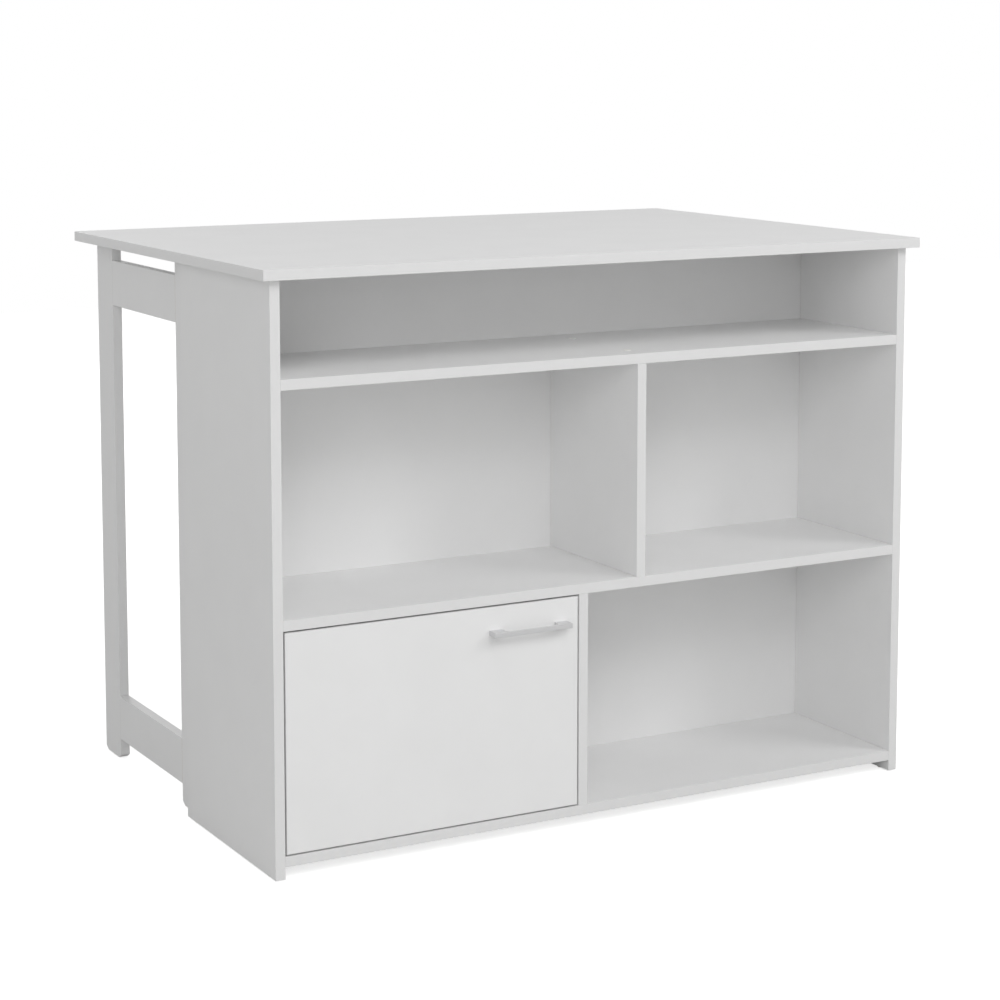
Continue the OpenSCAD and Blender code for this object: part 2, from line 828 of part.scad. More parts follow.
module shelf_cams() { color(steel) in_place() both_sides() at_shelf_ends() cam(); }
module cam_bolts() { color(steel) in_place() both_sides() at_shelf_ends() cam_bolt(); }

module shelf_dowels() {
    color(wood) in_place() both_sides() at_shelf_ends() shelf_dowel_at()
        dowel([0, 0, 0], "right", dowel_face_depth);
}

module divider_dowels() {
    color(wood) in_place() divider_dowel_at() dowel([0, 0, 0], "down", dowel_face_depth);
}

module worktop_dowels() {
    color(wood) in_place() top_dowel_at() dowel([0, 0, 0], "down", dowel_face_depth);
}

module frame_dowels() {
    color(wood) in_place() both_sides() for (z = [low_rail_z, high_rail_z])
        rail_dowel_at(z) dowel([0, 0, 0], "rear", dowel_len / 2);
}

module divider_screws() { color(steel) in_place() divider_screw_set(); }

// Caps on the two screws that show on the upper shelf
module screw_caps() {
    nose_r = 2;
    nose_h = 2.5;
    color(white) in_place() for (y = fix_ys)
        translate([upper_divider_x + board_t / 2, y, upper_z + board_t]) {
            cylinder(r1 = cap_r, r2 = cap_r - cap_t, h = cap_t);
            translate([0, 0, -nose_h]) cylinder(r = nose_r, h = nose_h);
        }
}

module back_screws() { color(steel) in_place() back_screw_set(); }
module frame_screws() { color(steel) in_place() both_sides() frame_screw_set(); }

module worktop_brackets() {
    color(steel) in_place() difference() {
        bracket_at() translate([-bracket_w / 2, 0, 0]) {
            translate([0, 0, -bracket_leg]) cube([bracket_w, bracket_t, bracket_leg]);
            translate([0, 0, -bracket_t]) cube([bracket_w, bracket_leg, bracket_t]);
        }
        bracket_screw_set(hole_clear);
    }
}

module bracket_screws() { color(steel) in_place() bracket_screw_set(); }

// Nail-in glides, their pads bevelled towards the floor
module glides() {
    bevel = glide_h / 2;
    color(plastic) in_place() glide_at() {
        translate([0, 0, -glide_h]) cylinder(r1 = glide_r - bevel, r2 = glide_r, h = bevel);
        translate([0, 0, -bevel]) cylinder(r = glide_r, h = bevel);
        cylinder(r = glide_nail_r, h = glide_nail_len);
    }
}

worktop();
side_left();
side_right();
bottom_shelf();
middle_shelf();
upper_shelf();
upper_divider();
lower_divider();
back_board();
left_front_leg();
left_rear_leg();
left_upper_rail();
left_lower_rail();
right_front_leg();
right_rear_leg();
right_upper_rail();
right_lower_rail();
door();
handle();
handle_screws();
upper_hinge_cup();
lower_hinge_cup();
upper_hinge_arm();
lower_hinge_arm();
upper_hinge_plate();
lower_hinge_plate();
hinge_pins();
hinge_cup_screws();
hinge_plate_screws();
hinge_arm_screws();
door_stop();
door_stop_screw();
shelf_cams();
cam_bolts();
shelf_dowels();
divider_dowels();
worktop_dowels();
frame_dowels();
divider_screws();
screw_caps();
back_screws();
frame_screws();
worktop_brackets();
bracket_screws();
glides();
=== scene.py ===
# %% [markdown]
# # Dressing a white kitchen island unit
# The construction of the island is already there: every board, hinge and
# fixing has its real size and place. This lesson gives it its looks.
# The boards are modelled again with edge bands and softened edges, the metal
# parts get their finish, and a pale studio is set up round them.

import json
import math

import bmesh
import bpy
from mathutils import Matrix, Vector

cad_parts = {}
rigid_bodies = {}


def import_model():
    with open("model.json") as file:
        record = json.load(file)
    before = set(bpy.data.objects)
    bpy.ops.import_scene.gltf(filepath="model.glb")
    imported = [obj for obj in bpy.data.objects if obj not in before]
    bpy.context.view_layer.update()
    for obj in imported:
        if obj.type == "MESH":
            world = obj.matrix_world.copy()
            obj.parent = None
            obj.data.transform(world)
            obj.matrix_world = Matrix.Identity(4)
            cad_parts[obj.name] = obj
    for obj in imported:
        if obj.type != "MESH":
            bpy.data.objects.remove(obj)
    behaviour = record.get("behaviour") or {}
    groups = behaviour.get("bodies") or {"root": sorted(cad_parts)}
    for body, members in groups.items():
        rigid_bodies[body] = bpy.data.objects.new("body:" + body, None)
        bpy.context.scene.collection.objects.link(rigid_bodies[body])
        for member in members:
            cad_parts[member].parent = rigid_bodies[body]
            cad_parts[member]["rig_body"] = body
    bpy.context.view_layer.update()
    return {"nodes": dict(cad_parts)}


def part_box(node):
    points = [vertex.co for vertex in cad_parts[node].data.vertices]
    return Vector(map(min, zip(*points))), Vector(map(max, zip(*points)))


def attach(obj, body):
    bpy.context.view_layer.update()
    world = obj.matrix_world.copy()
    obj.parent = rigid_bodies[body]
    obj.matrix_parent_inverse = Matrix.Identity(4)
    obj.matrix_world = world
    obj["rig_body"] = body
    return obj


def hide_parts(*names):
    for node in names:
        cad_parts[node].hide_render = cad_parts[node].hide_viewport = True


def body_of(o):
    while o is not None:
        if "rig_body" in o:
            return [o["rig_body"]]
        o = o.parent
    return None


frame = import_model()
MM = 0.001

# %% [markdown]
# ## Small tools for modelling
# An operator acts on everything that is selected, and the loaded nodes are
# selected at first. So a new piece always starts from an empty selection.
# A finished piece keeps its object at the origin, with its place in its mesh,
# so patterns on object coordinates stay where they are.


# %% Selecting
FACING = 0.99    # a face looks along a direction if its normal has this much of it


def deselect():
    """Leaves object mode with nothing selected."""
    if bpy.context.object and bpy.context.object.mode != "OBJECT":
        bpy.ops.object.mode_set(mode="OBJECT")
    bpy.ops.object.select_all(action="DESELECT")


def pick(piece):
    """Selects one piece and makes it the active one."""
    deselect()
    piece.select_set(True)
    bpy.context.view_layer.objects.active = piece
    return piece


def choose_faces(piece, test):
    """In edit mode, selects the faces whose centre and normal pass a test."""
    bpy.ops.mesh.select_mode(type="FACE")
    bpy.ops.mesh.select_all(action="DESELECT")
    mesh = bmesh.from_edit_mesh(piece.data)
    for face in mesh.faces:
        face.select_set(test(face.calc_center_median(), face.normal))
    bmesh.update_edit_mesh(piece.data)


def choose_edges(piece, test):
    """In edit mode, selects the edges whose two ends pass a test."""
    bpy.ops.mesh.select_mode(type="EDGE")
    bpy.ops.mesh.select_all(action="DESELECT")
    mesh = bmesh.from_edit_mesh(piece.data)
    for edge in mesh.edges:
        edge.select_set(test(edge.verts[0].co, edge.verts[1].co))
    bmesh.update_edit_mesh(piece.data)


# %% Finishing, joining and copying
def settle(piece, name):
    """Names a piece and puts its place into its mesh."""
    pick(piece)
    bpy.ops.object.transform_apply(location=True, rotation=True, scale=True)
    piece.name = name
    piece.data.name = name
    return piece


def join(pieces, name):
    """Makes one piece of several."""
    deselect()
    for piece in pieces:
        piece.select_set(True)
    bpy.context.view_layer.objects.active = pieces[0]
    if len(pieces) > 1:
        bpy.ops.object.join()
    return settle(bpy.context.object, name)


def copy_to(piece, place, way):
    """A copy with its own mesh, whose +z points along a direction."""
    twin = bpy.data.objects.new(piece.name, piece.data.copy())
    bpy.context.scene.collection.objects.link(twin)
    twin.location = place
    twin.rotation_euler = way.to_track_quat("Z", "Y").to_euler()
    return twin


def stand_for(piece, node):
    """Lets a finished piece take the place of a node, on the node's own body."""
    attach(piece, body_of(frame["nodes"][node])[0])
    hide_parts(node)


# %% [markdown]
# ### Reading places from the construction
# Bores, screws and caps have to sit exactly where the construction has them.
# Their places are read from the nodes instead of being typed in again.


# %% Places and sizes of loose solids
SAME_PLACE = 0.01 * MM    # points nearer to each other than this are one point
SORT_DIGITS = 4           # solids are sorted by their corner, to a tenth of a millimetre


def solids(node):
    """The points of each loose solid in a node."""
    mesh = bmesh.new()
    mesh.from_mesh(frame["nodes"][node].data)
    bmesh.ops.remove_doubles(mesh, verts=mesh.verts, dist=SAME_PLACE)
    left = set(mesh.verts)
    found = []
    while left:
        first = left.pop()
        group, front = [first], [first]
        while front:
            for edge in front.pop().link_edges:
                for vert in edge.verts:
                    if vert in left:
                        left.remove(vert)
                        group.append(vert)
                        front.append(vert)
        found.append([vert.co.copy() for vert in group])
    mesh.free()
    return sorted(found, key=lambda points: tuple(round(c, SORT_DIGITS) for c in corners(points)[0]))


def corners(points):
    """The lowest and the highest corner of the box round some points."""
    low = Vector([min(p[i] for p in points) for i in range(3)])
    high = Vector([max(p[i] for p in points) for i in range(3)])
    return low, high


def measure_screw(points):
    """Head, direction and sizes of a screw: the end that is wider is its head."""
    low, high = corners(points)
    middle = (low + high) / 2
    axis = max(range(3), key=lambda i: high[i] - low[i])

    def radius_at(end):
        rim = [p for p in points if abs(p[axis] - end) < SAME_PLACE]
        return max(math.dist([c for i, c in enumerate(p) if i != axis],
                             [c for i, c in enumerate(middle) if i != axis]) for p in rim)

    head_first = radius_at(low[axis]) > radius_at(high[axis])
    head_end, tip_end = (low[axis], high[axis]) if head_first else (high[axis], low[axis])
    head, way = middle.copy(), Vector((0, 0, 0))
    head[axis] = head_end
    way[axis] = 1 if head_first else -1
    head_r, shank_r = radius_at(head_end), radius_at(tip_end)
    under = [abs(p[axis] - head_end) for p in points if abs(p[axis] - tip_end) > SAME_PLACE]
    return {"head": head, "way": way, "head_r": head_r, "shank_r": shank_r,
            "head_t": max(under), "length": abs(tip_end - head_end)}


sample = measure_screw(solids("back_screws")[0])
print("a back screw, in mm:", {key: round(value / MM, 2) for key, value in sample.items()
                               if isinstance(value, float)})

# %% [markdown]
# ## Colours and materials
# A hex value is an sRGB colour, and the shader wants linear light, so one
# function turns every colour. One more function adds any node with its
# settings and links, which keeps each material short enough to read.


# %% Colour and node helpers
def linear(hex_colour):
    """An sRGB hex colour as a linear RGBA value, by the standard's own formula."""
    channels = [int(hex_colour[i:i + 2], 16) / 255 for i in (1, 3, 5)]
    return tuple(c / 12.92 if c <= 0.04045 else ((c + 0.055) / 1.055) ** 2.4 for c in channels) + (1.0,)


def add(tree, kind, settings, inputs):
    """Adds a node; an input is either a value or another node's output."""
    node = tree.nodes.new(kind)
    for key, value in settings.items():
        setattr(node, key, value)
    for key, value in inputs.items():
        if isinstance(value, bpy.types.NodeSocket):
            tree.links.new(value, node.inputs[key])
        else:
            node.inputs[key].default_value = value
    return node


def start_material(name):
    """A new material: its tree, its main shader and the object coordinates."""
    material = bpy.data.materials.new(name)
    material.use_nodes = True
    tree = material.node_tree
    shader = tree.nodes["Principled BSDF"]
    place = tree.nodes.new("ShaderNodeTexCoord").outputs["Object"]
    return material, tree, shader, place


def per_metre(size_mm):
    """A texture scale that gives features of this size."""
    return 1 / (size_mm * MM)


# %% Shared parts of a finish
def blend_colours(tree, shader, amount, dark, light, span=(0.3, 0.7)):
    """Lets the base colour wander between two tones."""
    tone = add(tree, "ShaderNodeValToRGB", {}, {"Fac": amount})
    for stop, at, colour in zip(tone.color_ramp.elements, span, (dark, light)):
        stop.position = at
        stop.color = linear(colour)
    tree.links.new(tone.outputs["Color"], shader.inputs["Base Color"])


def vary_gloss(tree, shader, amount, low, high):
    """Lets the roughness wander between two values."""
    sheen = add(tree, "ShaderNodeMapRange", {}, {"Value": amount, "To Min": low, "To Max": high})
    tree.links.new(sheen.outputs["Result"], shader.inputs["Roughness"])


def raise_surface(tree, shader, height, strength, depth_mm):
    """Turns a pattern into a fine relief of a real depth."""
    bump = add(tree, "ShaderNodeBump", {}, {
        "Height": height, "Strength": strength, "Distance": depth_mm * MM})
    tree.links.new(bump.outputs["Normal"], shader.inputs["Normal"])


# %% [markdown]
# ### White melamine
# The boards are chipboard pressed between sheets of melamine paper. The press
# plate leaves a fine pearl texture, so the sheen is soft and a little broken.
# Seen from a few steps away only a very faint cloudiness is left.

# %% White melamine
MELAMINE_WHITE = "#ededed"
MELAMINE_SHADE = "#ebebeb"
PEARL_MM = 1.4       # the real pearl is near 0.4 mm, drawn coarser so that it can show
CLOUD_MM = 90        # size of the faint cloudiness


def make_melamine():
    material, tree, shader, place = start_material("melamine_pearl_pressed_white")
    cloud = add(tree, "ShaderNodeTexNoise", {}, {
        "Vector": place, "Scale": per_metre(CLOUD_MM), "Detail": 3.0})
    pearl = add(tree, "ShaderNodeTexNoise", {}, {
        "Vector": place, "Scale": per_metre(PEARL_MM), "Detail": 2.0})
    blend_colours(tree, shader, cloud.outputs["Fac"], MELAMINE_SHADE, MELAMINE_WHITE)
    vary_gloss(tree, shader, pearl.outputs["Fac"], low=0.58, high=0.7)
    raise_surface(tree, shader, pearl.outputs["Fac"], strength=0.06, depth_mm=0.05)
    shader.inputs["IOR"].default_value = 1.5
    return material


melamine = make_melamine()

# %% [markdown]
# ### Edge band
# The cut edges are covered with a thin plastic strip in nearly the same white.
# It is extruded and glued on, so it is smoother than the pressed face. Only a
# faint unevenness of its sheen is left of the extruder's marks.

# %% Edge band
BAND_WHITE = "#e4e4e4"
BAND_MARK_MM = 2.5   # the real marks are finer, drawn coarser so that they can show


def make_band():
    material, tree, shader, place = start_material("abs_edge_band_extruded_white")
    marks = add(tree, "ShaderNodeTexNoise", {}, {
        "Vector": place, "Scale": per_metre(BAND_MARK_MM), "Detail": 1.0})
    vary_gloss(tree, shader, marks.outputs["Fac"], low=0.33, high=0.43)
    raise_surface(tree, shader, marks.outputs["Fac"], strength=0.04, depth_mm=0.04)
    shader.inputs["Base Color"].default_value = linear(BAND_WHITE)
    shader.inputs["IOR"].default_value = 1.52
    return material


band = make_band()

# %% [markdown]
# ### Raw chipboard
# Inside the bores and on the edges that another board hides, the chips of the
# core show: pale tan flakes a few millimetres long, with darker glue between.

# %% Raw chipboard
CHIP_LIGHT = "#cdb48c"
CHIP_DARK = "#94734a"
CHIP_MM = 3.0


def make_chipboard():
    material, tree, shader, place = start_material("chipboard_core_sawn")
    chips = add(tree, "ShaderNodeTexVoronoi", {}, {"Vector": place, "Scale": per_metre(CHIP_MM)})
    blend_colours(tree, shader, chips.outputs["Distance"], CHIP_LIGHT, CHIP_DARK, span=(0.1, 0.9))
    raise_surface(tree, shader, chips.outputs["Distance"], strength=0.4, depth_mm=0.2)
    shader.inputs["Roughness"].default_value = 0.9
    return material


chipboard = make_chipboard()
BOARD_MATERIALS = [melamine, band, chipboard]
FACE, BAND, RAW = 0, 1, 2

# %% [markdown]
# ### Satin nickel
# The handle is a zinc casting, brushed along its length and nickel plated. The
# brushing draws every highlight out into a soft streak, so the metal looks
# grey and even rather than bright. It is made from noise that is stretched
# along the handle.

# %% Satin nickel
NICKEL_SATIN_LIGHT = "#dededf"
NICKEL_SATIN_DARK = "#d4d4d5"
BRUSH_MM = 0.5        # spacing of the brush lines, drawn a little coarser than real
BRUSH_STRETCH = 24    # how much longer a line is than it is wide


def make_satin_nickel():
    material, tree, shader, place = start_material("satin_nickel_brushed_and_plated")
    along = add(tree, "ShaderNodeMapping", {}, {"Vector": place, "Scale": (1 / BRUSH_STRETCH, 1, 1)})
    lines = add(tree, "ShaderNodeTexNoise", {}, {
        "Vector": along.outputs["Vector"], "Scale": per_metre(BRUSH_MM), "Detail": 2.0})
    blend_colours(tree, shader, lines.outputs["Fac"], NICKEL_SATIN_DARK, NICKEL_SATIN_LIGHT)
    vary_gloss(tree, shader, lines.outputs["Fac"], low=0.34, high=0.5)
    raise_surface(tree, shader, lines.outputs["Fac"], strength=0.12, depth_mm=0.02)
    shader.inputs["Metallic"].default_value = 1.0
    return material


satin_nickel = make_satin_nickel()

# %% [markdown]
# ### Nickel plated steel
# Cups, arms, mounting plates and brackets are pressed from sheet steel and
# plated in a barrel. The tumbling leaves a bright surface with shallow waves
# and tiny scuffs, slightly warm in tone.

# %% Nickel plated steel
NICKEL_LIGHT = "#d2d0cb"
NICKEL_DARK = "#c2c0bb"
WAVE_MM = 6
SCUFF_MM = 0.8


def make_pressed_nickel():
    material, tree, shader, place = start_material("nickel_plated_pressed_steel")
    waves = add(tree, "ShaderNodeTexNoise", {}, {
        "Vector": place, "Scale": per_metre(WAVE_MM), "Detail": 1.0})
    scuffs = add(tree, "ShaderNodeTexNoise", {}, {
        "Vector": place, "Scale": per_metre(SCUFF_MM), "Detail": 3.0})
    blend_colours(tree, shader, waves.outputs["Fac"], NICKEL_DARK, NICKEL_LIGHT)
    vary_gloss(tree, shader, scuffs.outputs["Fac"], low=0.2, high=0.36)
    raise_surface(tree, shader, waves.outputs["Fac"], strength=0.15, depth_mm=0.08)
    shader.inputs["Metallic"].default_value = 1.0
    return material


pressed_nickel = make_pressed_nickel()

# %% [markdown]
# ### Zinc plated steel
# The screws are cold headed steel with a thin zinc layer, which is cooler and
# duller than nickel and never quite even from one spot to the next.

# %% Zinc plated steel
ZINC_PLATE_LIGHT = "#c6cace"
ZINC_PLATE_DARK = "#aeb3b8"
SPANGLE_MM = 1.2


def make_zinc_plate():
    material, tree, shader, place = start_material("zinc_plated_cold_headed_steel")
    spots = add(tree, "ShaderNodeTexNoise", {}, {
        "Vector": place, "Scale": per_metre(SPANGLE_MM), "Detail": 3.0})
    blend_colours(tree, shader, spots.outputs["Fac"], ZINC_PLATE_DARK, ZINC_PLATE_LIGHT)
    vary_gloss(tree, shader, spots.outputs["Fac"], low=0.28, high=0.44)
    shader.inputs["Metallic"].default_value = 1.0
    return material


zinc_plate = make_zinc_plate()

# %% [markdown]
# ### Die cast zinc
# The cams are cast and only tumbled, so they are a flat, slightly mottled grey
# with a fine grain from the mould.

# %% Die cast zinc
CAST_LIGHT = "#a6a9ac"
CAST_DARK = "#8f9295"
CAST_GRAIN_MM = 0.7


def make_zinc_cast():
    material, tree, shader, place = start_material("zinc_die_cast_tumbled")
    grain = add(tree, "ShaderNodeTexNoise", {}, {
        "Vector": place, "Scale": per_metre(CAST_GRAIN_MM), "Detail": 4.0})
    blend_colours(tree, shader, grain.outputs["Fac"], CAST_DARK, CAST_LIGHT)
    vary_gloss(tree, shader, grain.outputs["Fac"], low=0.45, high=0.62)
    raise_surface(tree, shader, grain.outputs["Fac"], strength=0.2, depth_mm=0.04)
    shader.inputs["Metallic"].default_value = 1.0
    return material


zinc_cast = make_zinc_cast()

# %% [markdown]
# ### Beech
# The dowels are turned from beech and left raw: a pale pinkish tan, full of
# short darker flecks.

# %% Beech
BEECH_LIGHT = "#d9bd92"
BEECH_DARK = "#bf9a68"
FLECK_MM = 1.5


def make_beech():
    material, tree, shader, place = start_material("beech_turned_raw")
    flecks = add(tree, "ShaderNodeTexVoronoi", {"feature": "SMOOTH_F1"}, {
        "Vector": place, "Scale": per_metre(FLECK_MM), "Smoothness": 0.6})
    blend_colours(tree, shader, flecks.outputs["Distance"], BEECH_DARK, BEECH_LIGHT, span=(0.1, 0.6))
    raise_surface(tree, shader, flecks.outputs["Distance"], strength=0.2, depth_mm=0.08)
    shader.inputs["Roughness"].default_value = 0.75
    return material


beech = make_beech()

# %% [markdown]
# ### White moulded plastic
# Cover caps and door stop are moulded polypropylene. It lets a little light
# in under its surface, and the mould's fine spark texture makes it silky.

# %% White moulded plastic
CAP_WHITE = "#f4f4f2"
SPARK_MM = 0.6
GLOSS_SPREAD = 0.06    # how far the roughness wanders from its mean


def make_moulded(name, colour, roughness):
    material, tree, shader, place = start_material(name)
    spark = add(tree, "ShaderNodeTexNoise", {}, {
        "Vector": place, "Scale": per_metre(SPARK_MM), "Detail": 2.0})
    vary_gloss(tree, shader, spark.outputs["Fac"], roughness - GLOSS_SPREAD, roughness + GLOSS_SPREAD)
    raise_surface(tree, shader, spark.outputs["Fac"], strength=0.1, depth_mm=0.03)
    shader.inputs["Base Color"].default_value = linear(colour)
    shader.inputs["Subsurface Weight"].default_value = 0.1
    shader.inputs["Subsurface Scale"].default_value = 1.5 * MM
    return material


white_plastic = make_moulded("polypropylene_moulded_white", CAP_WHITE, roughness=0.32)

# %% [markdown]
# ### Nylon
# The glides are nylon, which is moulded too but duller and a little yellow.

# %% Nylon
NYLON_PALE = "#dcd8ca"
nylon = make_moulded("nylon_moulded_natural", NYLON_PALE, roughness=0.55)

# %% [markdown]
# ## The boards
# Each board starts as a cube at its real size. All its edges are softened by
# half a millimetre, as a trimmed edge band is. Where an edge is banded, the
# mesh is cut a little inside that edge, so that the band is its own strip
# round the board. Edges that another board hides stay raw chipboard.

# %% A softened block
SOFT_EDGE = 0.5 * MM
BAND_T = 0.9 * MM
SIDES = {"-x": (0, -1), "+x": (0, 1), "-y": (1, -1), "+y": (1, 1), "-z": (2, -1), "+z": (2, 1)}


def box_piece(low, high):
    """A cube primitive between two corners, with its place in its mesh."""
    deselect()
    bpy.ops.mesh.primitive_cube_add(size=1, location=(low + high) / 2)
    piece = bpy.context.object
    piece.scale = high - low
    bpy.ops.object.transform_apply(location=True, rotation=True, scale=True)
    return piece


def side_of(low, high, side, depth):
    """A point and a normal of a plane that lies inside one side of a box."""
    axis, sign = SIDES[side]
    way = Vector((0, 0, 0))
    way[axis] = sign
    at = Vector(high if sign > 0 else low) - way * depth
    return at, way


# %% [markdown]
# The legs stand on a floor that is never quite flat, so their lower corners
# are cut off at a slant. The corner is sliced away from the cube before its
# edges are softened.

# %% Cutting the lower corners of a leg
LEG_CUT_LONG = 10 * MM
LEG_CUT_HIGH = 6 * MM


def cut_leg_corners(low, high):
    """In edit mode, slices off the two lower corners of a leg board."""
    for corner_y, sign in ((low.y, -1), (high.y, 1)):
        at = Vector((low.x, corner_y, low.z + LEG_CUT_HIGH))
        way = Vector((0, sign * LEG_CUT_HIGH, -LEG_CUT_LONG)).normalized()
        bpy.ops.mesh.select_all(action="SELECT")
        bpy.ops.mesh.bisect(plane_co=at, plane_no=way, clear_outer=True, use_fill=True)


# %% A banded board
SLANT = -0.5    # the slants of a leg's corners have a normal that points down more than this


def paint_board(piece, low, high, banded):
    """Gives each face its material by where it lies on the board."""
    flat = min(range(3), key=lambda i: high[i] - low[i])
    for face in piece.data.polygons:
        face.material_index = FACE
        near = max(range(3), key=lambda i: abs(face.normal[i]))
        if near != flat:
            face.material_index = RAW
        for side in banded:
            at, way = side_of(low, high, side, BAND_T)
            if (face.center - at).dot(way) > 0:
                face.material_index = BAND
        if "-z" in banded and near != flat and face.normal.z < SLANT:
            face.material_index = BAND


def make_board(node, banded):
    """A board in the place of a node, with its edge bands."""
    low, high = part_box(node)
    piece = pick(box_piece(low, high))
    bpy.ops.object.mode_set(mode="EDIT")
    if node.endswith("_leg"):
        cut_leg_corners(low, high)
    bpy.ops.mesh.select_all(action="SELECT")
    bpy.ops.mesh.bevel(offset=SOFT_EDGE, offset_type="OFFSET", segments=2, profile=0.5, affect="EDGES")
    for side in banded:
        at, way = side_of(low, high, side, BAND_T)
        bpy.ops.mesh.select_all(action="SELECT")
        bpy.ops.mesh.bisect(plane_co=at, plane_no=way)
    bpy.ops.object.mode_set(mode="OBJECT")
    for material in BOARD_MATERIALS:
        piece.data.materials.append(material)
    paint_board(piece, low, high, banded)
    return settle(piece, "board_" + node)


# %% Which edges of each board are banded
BOARDS = {
    "worktop": ["-x", "+x", "-y", "+y"],
    "side_left": ["-y", "+y", "-z"],
    "side_right": ["-y", "+y", "-z"],
    "bottom_shelf": ["-y"],
    "middle_shelf": ["-y"],
    "upper_shelf": ["-y"],
    "upper_divider": ["-y"],
    "lower_divider": ["-y"],
    "back_board": ["-z"],
    "left_front_leg": ["-y", "+y", "-z"],
    "left_rear_leg": ["-y", "+y", "-z"],
    "left_upper_rail": ["-z", "+z"],
    "left_lower_rail": ["-z", "+z"],
    "right_front_leg": ["-y", "+y", "-z"],
    "right_rear_leg": ["-y", "+y", "-z"],
    "right_upper_rail": ["-z", "+z"],
    "right_lower_rail": ["-z", "+z"],
    "door": ["-x", "+x", "-z", "+z"],
}
boards = {node: make_board(node, banded) for node, banded in BOARDS.items()}
print("boards made:", len(boards))

# %% [markdown]
# ### Boring the boards
# A hinge cup, a cam or a countersunk head lies in its board, so the board
# needs the hole. Each drill is a cone or a cylinder that starts a little above
# the face. The holes of one board are cut together with a Boolean modifier
# that takes the drill's material along, so the walls show raw chips.

# %% A drill
DRILL_START = 0.5 * MM
DRILL_SIDES = 40


def make_drill(at, way, mouth_r, end_r, depth):
    """A drill that enters a face at a point; a countersink narrows inwards."""
    start_r = mouth_r + (mouth_r - end_r) * DRILL_START / depth
    deselect()
    bpy.ops.mesh.primitive_cone_add(
        vertices=DRILL_SIDES, radius1=start_r, radius2=end_r, depth=depth + DRILL_START,
        location=at + way * (depth - DRILL_START) / 2, rotation=way.to_track_quat("Z", "Y").to_euler())
    drill = bpy.context.object
    drill.data.materials.append(chipboard)
    return drill


def cut_away(piece, tool, materials):
    """Takes a tool's shape out of a piece; TRANSFER brings the tool's material along."""
    pick(piece)
    cut = piece.modifiers.new("cut", "BOOLEAN")
    cut.operation = "DIFFERENCE"
    cut.solver = "EXACT"
    cut.material_mode = materials
    cut.object = tool
    bpy.ops.object.modifier_apply(modifier=cut.name)
    bpy.data.objects.remove(tool)


def bore(board, drills):
    """Cuts the holes of one board, and leaves their walls as raw chipboard."""
    cut_away(board, join(drills, "drill"), "TRANSFER")


# %% Where the drills go
BORE_ROOM = 0.1 * MM      # the holes are this much wider than what lies in them
CUP_EDGE = 4 * MM         # board left between a cup's bore and the door's edge
CUP_R = 17.5 * MM
CUP_DEPTH = 12.5 * MM
UP = Vector((0, 0, 1))
FORWARDS = Vector((0, -1, 0))


def cup_drills():
    """The two hinge cups are bored from the door's inner face."""
    inner_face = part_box("door")[1].y
    drills = []
    for node in ("upper_hinge_cup", "lower_hinge_cup"):
        low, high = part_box(node)
        cup_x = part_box("door")[0].x + CUP_EDGE + CUP_R
        at = Vector((cup_x, inner_face, (low.z + high.z) / 2))
        drills.append(make_drill(at, FORWARDS, CUP_R, CUP_R, CUP_DEPTH))
    return drills


def cam_drills(shelf):
    """The cams are pushed in from a shelf's underside."""
    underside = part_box(shelf)[0].z
    drills = []
    for points in solids("shelf_cams"):
        low, high = corners(points)
        if abs(low.z - underside) < MM:
            at = Vector(((low.x + high.x) / 2, (low.y + high.y) / 2, underside))
            radius = (high.x - low.x) / 2 + BORE_ROOM
            drills.append(make_drill(at, UP, radius, radius, high.z - low.z + BORE_ROOM))
    return drills


def sink_drills(screws):
    """Countersinks for screws whose heads lie flush."""
    return [make_drill(s["head"], s["way"], s["head_r"] + BORE_ROOM, s["shank_r"],
                       s["head_r"] - s["shank_r"]) for s in screws]


# %% Bore every board that has visible holes
back_screws = [measure_screw(points) for points in solids("back_screws")]
frame_screws = [measure_screw(points) for points in solids("frame_screws")]
divider_screws = [measure_screw(points) for points in solids("divider_screws")]
bore(boards["door"], cup_drills())
bore(boards["back_board"], sink_drills(back_screws))
for shelf in ("bottom_shelf", "middle_shelf", "upper_shelf"):
    low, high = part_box(shelf)
    heads = [s for s in divider_screws if low.z - MM < s["head"].z < high.z + MM]
    bore(boards[shelf], cam_drills(shelf) + sink_drills(heads))
for leg, side in (("left_front_leg", -1), ("right_front_leg", 1)):
    bore(boards[leg], sink_drills([s for s in frame_screws if s["head"].x * side > 0]))
print("holes bored for", len(back_screws), "back,", len(frame_screws), "frame and",
      len(divider_screws), "divider screws")

# %% [markdown]
# ### Shading the boards
# The softened edges should catch the light while the faces stay dead flat.
# Smooth shading by angle rounds the edges, and a Weighted Normal modifier
# then lets the big faces rule, so no shadow creeps out over them. The pieces
# that follow are shaded in the same way.

# %% Shading
SMOOTH_BELOW = math.radians(40)


def shade(piece, angle=SMOOTH_BELOW):
    """Smooth edges between flat faces."""
    pick(piece)
    bpy.ops.object.shade_smooth_by_angle(angle=angle)
    weigh = piece.modifiers.new("weights", "WEIGHTED_NORMAL")
    weigh.keep_sharp = True
    bpy.ops.object.modifier_apply(modifier=weigh.name)
    return piece


for node, piece in boards.items():
    stand_for(shade(piece), node)
print("faces of the back board:", len(boards["back_board"].data.polygons))

# %% [markdown]
# ## The handle
# The handle is one flat bar with a broad foot at each end. It starts as the
# bar alone. Two cuts mark off the feet, whose backs are pulled out to the
# door, and the lines that the cuts leave on flat faces are dissolved again.
# The inner corners are then rounded with a large bevel, the two ends with a
# small one.

